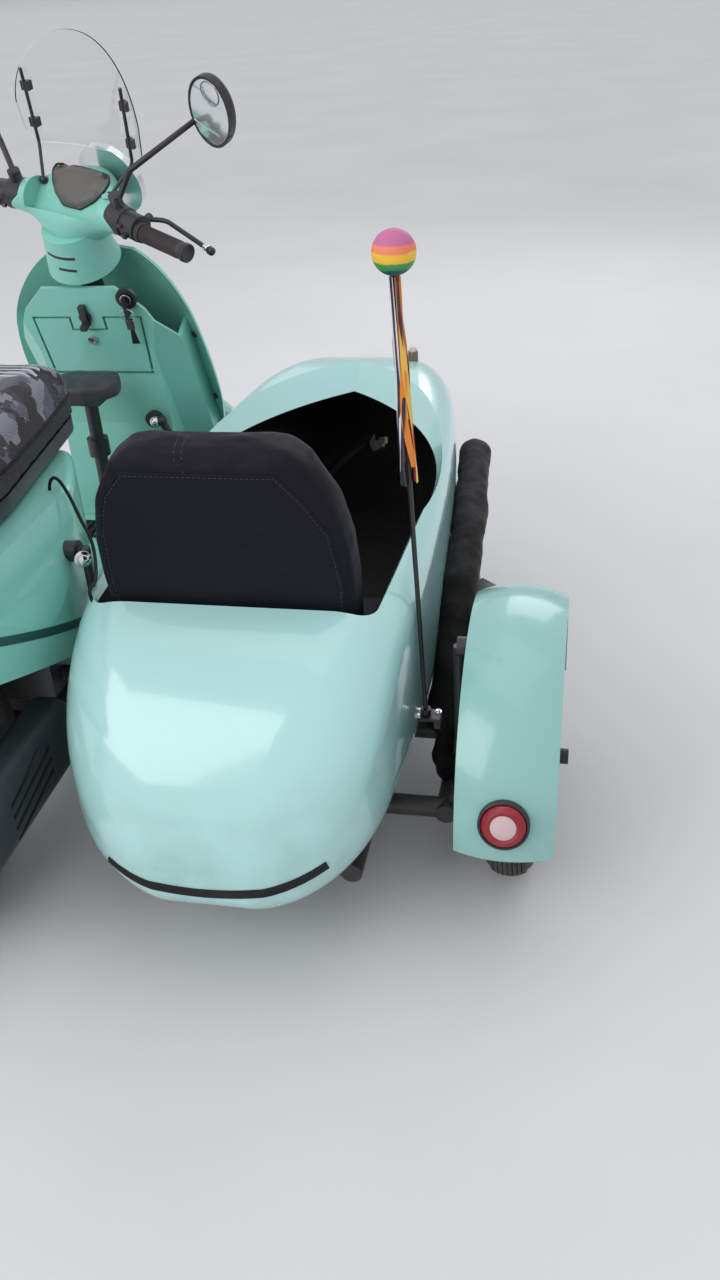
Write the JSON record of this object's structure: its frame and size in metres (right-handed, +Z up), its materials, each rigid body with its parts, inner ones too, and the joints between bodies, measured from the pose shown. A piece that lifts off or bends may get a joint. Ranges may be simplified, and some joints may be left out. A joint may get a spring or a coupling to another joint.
{
  "type": "motor scooter with sidecar",
  "caption": "Mint motor scooter with a sidecar on its right: steered front wheel, lifting seat, glovebox, folding stand",
  "frame": {"origin": "centre of the outfit's outer box, on the ground", "axes": "+X to the right, towards the sidecar; +Y forward, the way it drives; +Z up"},
  "size_m": [1.402, 1.8704, 1.3799],
  "materials": {
    "mint_paint": "glossy light mint paint",
    "black_vinyl": "black vinyl with a slight sheen",
    "seat_cover": "woven grey and black camouflage cover",
    "black_plastic": "matt black moulded plastic",
    "grey_plastic": "warm dark grey plastic",
    "rubber": "matt black rubber",
    "tyre": "worn black tyre rubber",
    "alloy": "cast aluminium",
    "chrome": "bright chrome",
    "steel_grey": "grey heat-proof paint",
    "black_steel": "satin black paint",
    "clear_screen": "clear sheet",
    "red_lens": "red lamp lens",
    "amber_lens": "amber lamp lens",
    "mirror": "silvered glass",
    "ribbon": "coloured ribbons",
    "plate": "blank white plate"
  },
  "bodies": {
    "chassis": {"leg_shield": "mint_paint", "column_cover": "mint_paint", "inner_shield": "mint_paint", "panel_fittings": "black_plastic", "turn_lamps": "amber_lens", "floorboard": "mint_paint", "floor_mats": "rubber", "underframe": "black_steel", "rear_body": "mint_paint", "cowl_right": "mint_paint", "cowl_left": "mint_paint", "tail_lamp": "red_lens", "plate_holder": "plate", "grab_rail": "chrome", "engine_block": "alloy", "rear_shock": "black_steel", "muffler": "steel_grey", "child_saddle": "black_vinyl", "saddle_post": "black_steel", "head_tube": "black_steel", "sidecar_tub": "mint_paint", "seat_box": "black_plastic", "sidecar_seat": "black_vinyl", "sidecar_backrest": "black_vinyl", "sidecar_frame": "black_steel", "wheel_arm": "black_steel", "mudguard": "mint_paint", "side_bar": "black_vinyl", "step_plate": "black_steel", "pole": "black_steel", "ribbons": "ribbon", "sidecar_lamps": "red_lens", "cable": "rubber", "upper_struts": "black_steel", "lower_links": "black_steel"},
    "steering": {"steering_column": "black_steel", "front_suspension": "steel_grey", "front_fender": "mint_paint", "headset": "mint_paint", "instrument_panel": "grey_plastic", "headlamp": "chrome", "switch_housings": "black_plastic", "grips": "grey_plastic", "levers": "alloy", "mirrors": "black_plastic", "mirror_glasses": "mirror", "windscreen": "clear_screen", "screen_stays": "black_steel"},
    "front_wheel": {"front_tyre": "tyre", "front_rim": "alloy"},
    "rear_wheel": {"rear_tyre": "tyre", "rear_rim": "alloy"},
    "sidecar_wheel": {"sidecar_tyre": "tyre", "sidecar_rim": "alloy"},
    "seat": {"seat_base": "black_plastic", "seat_cushion": "seat_cover"},
    "glovebox_lid": {"glovebox_door": "mint_paint"},
    "stand": {"centre_stand": "black_steel"}
  },
  "joints": [
    {"name": "steering_turn", "type": "hinge", "parent": "chassis", "child": "steering", "pos_m": [-0.37504, 0.79506, 0], "axis": [0, -0.4384, 0.8988], "range_deg": [-15, 55]},
    {"name": "front_wheel_spin", "type": "hinge", "parent": "steering", "child": "front_wheel", "pos_m": [-0.3653, 0.71411, 0.22703], "axis": [0.9397, -0.3074, -0.1499], "continuous": true},
    {"name": "rear_wheel_spin", "type": "hinge", "parent": "chassis", "child": "rear_wheel", "pos_m": [-0.37504, -0.61894, 0.236], "axis": [1, 0, 0], "continuous": true},
    {"name": "sidecar_wheel_spin", "type": "hinge", "parent": "chassis", "child": "sidecar_wheel", "pos_m": [0.60996, -0.36294, 0.215], "axis": [1, 0, 0], "continuous": true},
    {"name": "seat_hinge", "type": "hinge", "parent": "chassis", "child": "seat", "pos_m": [-0.37504, -0.06894, 0.668], "axis": [-1, 0, 0], "range_deg": [0, 75]},
    {"name": "glovebox_hinge", "type": "hinge", "parent": "chassis", "child": "glovebox_lid", "pos_m": [-0.37504, 0.36185, 0.66326], "axis": [1, 0, 0], "range_deg": [0, 30]},
    {"name": "stand_pivot", "type": "hinge", "parent": "chassis", "child": "stand", "pos_m": [-0.37504, -0.28894, 0.165], "axis": [1, 0, 0], "range_deg": [0, 52]}
  ]
}
